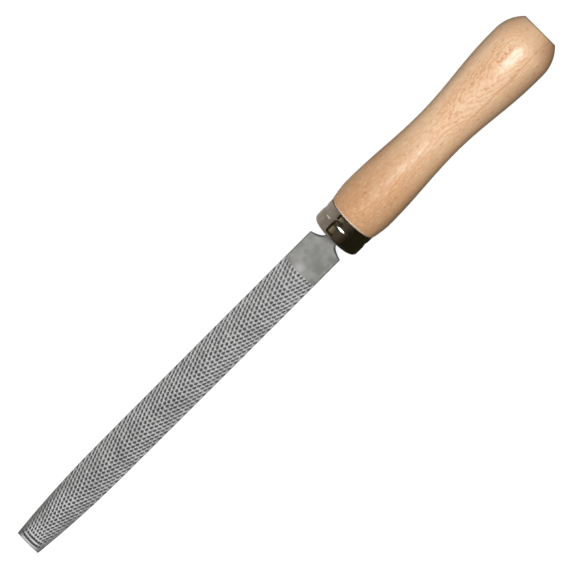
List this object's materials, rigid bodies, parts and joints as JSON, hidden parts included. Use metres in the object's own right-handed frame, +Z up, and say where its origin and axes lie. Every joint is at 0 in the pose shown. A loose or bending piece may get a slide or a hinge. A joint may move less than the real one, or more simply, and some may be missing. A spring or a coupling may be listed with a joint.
{
  "type": "wood rasp",
  "caption": "Half-round wood rasp: toothed steel blade with a smooth heel, its tang held in a turned beech handle with a grooved steel ferrule.",
  "frame": {"origin": "on the bench under the middle of the tool's length, as the tool lies with its crowned face up", "axes": "+X along the tool from the tip to the butt of the handle, +Y across the blade, +Z up, out of the crowned face"},
  "size_m": [0.3268, 0.0274, 0.0308],
  "materials": {
    "blade_steel": "matte hardened steel with punched teeth",
    "ferrule_steel": "polished drawn steel",
    "beech": "turned beech under satin lacquer"
  },
  "bodies": {
    "root": {"rasp_blade": "blade_steel", "ferrule": "ferrule_steel", "handle": "beech"}
  },
  "joints": []
}
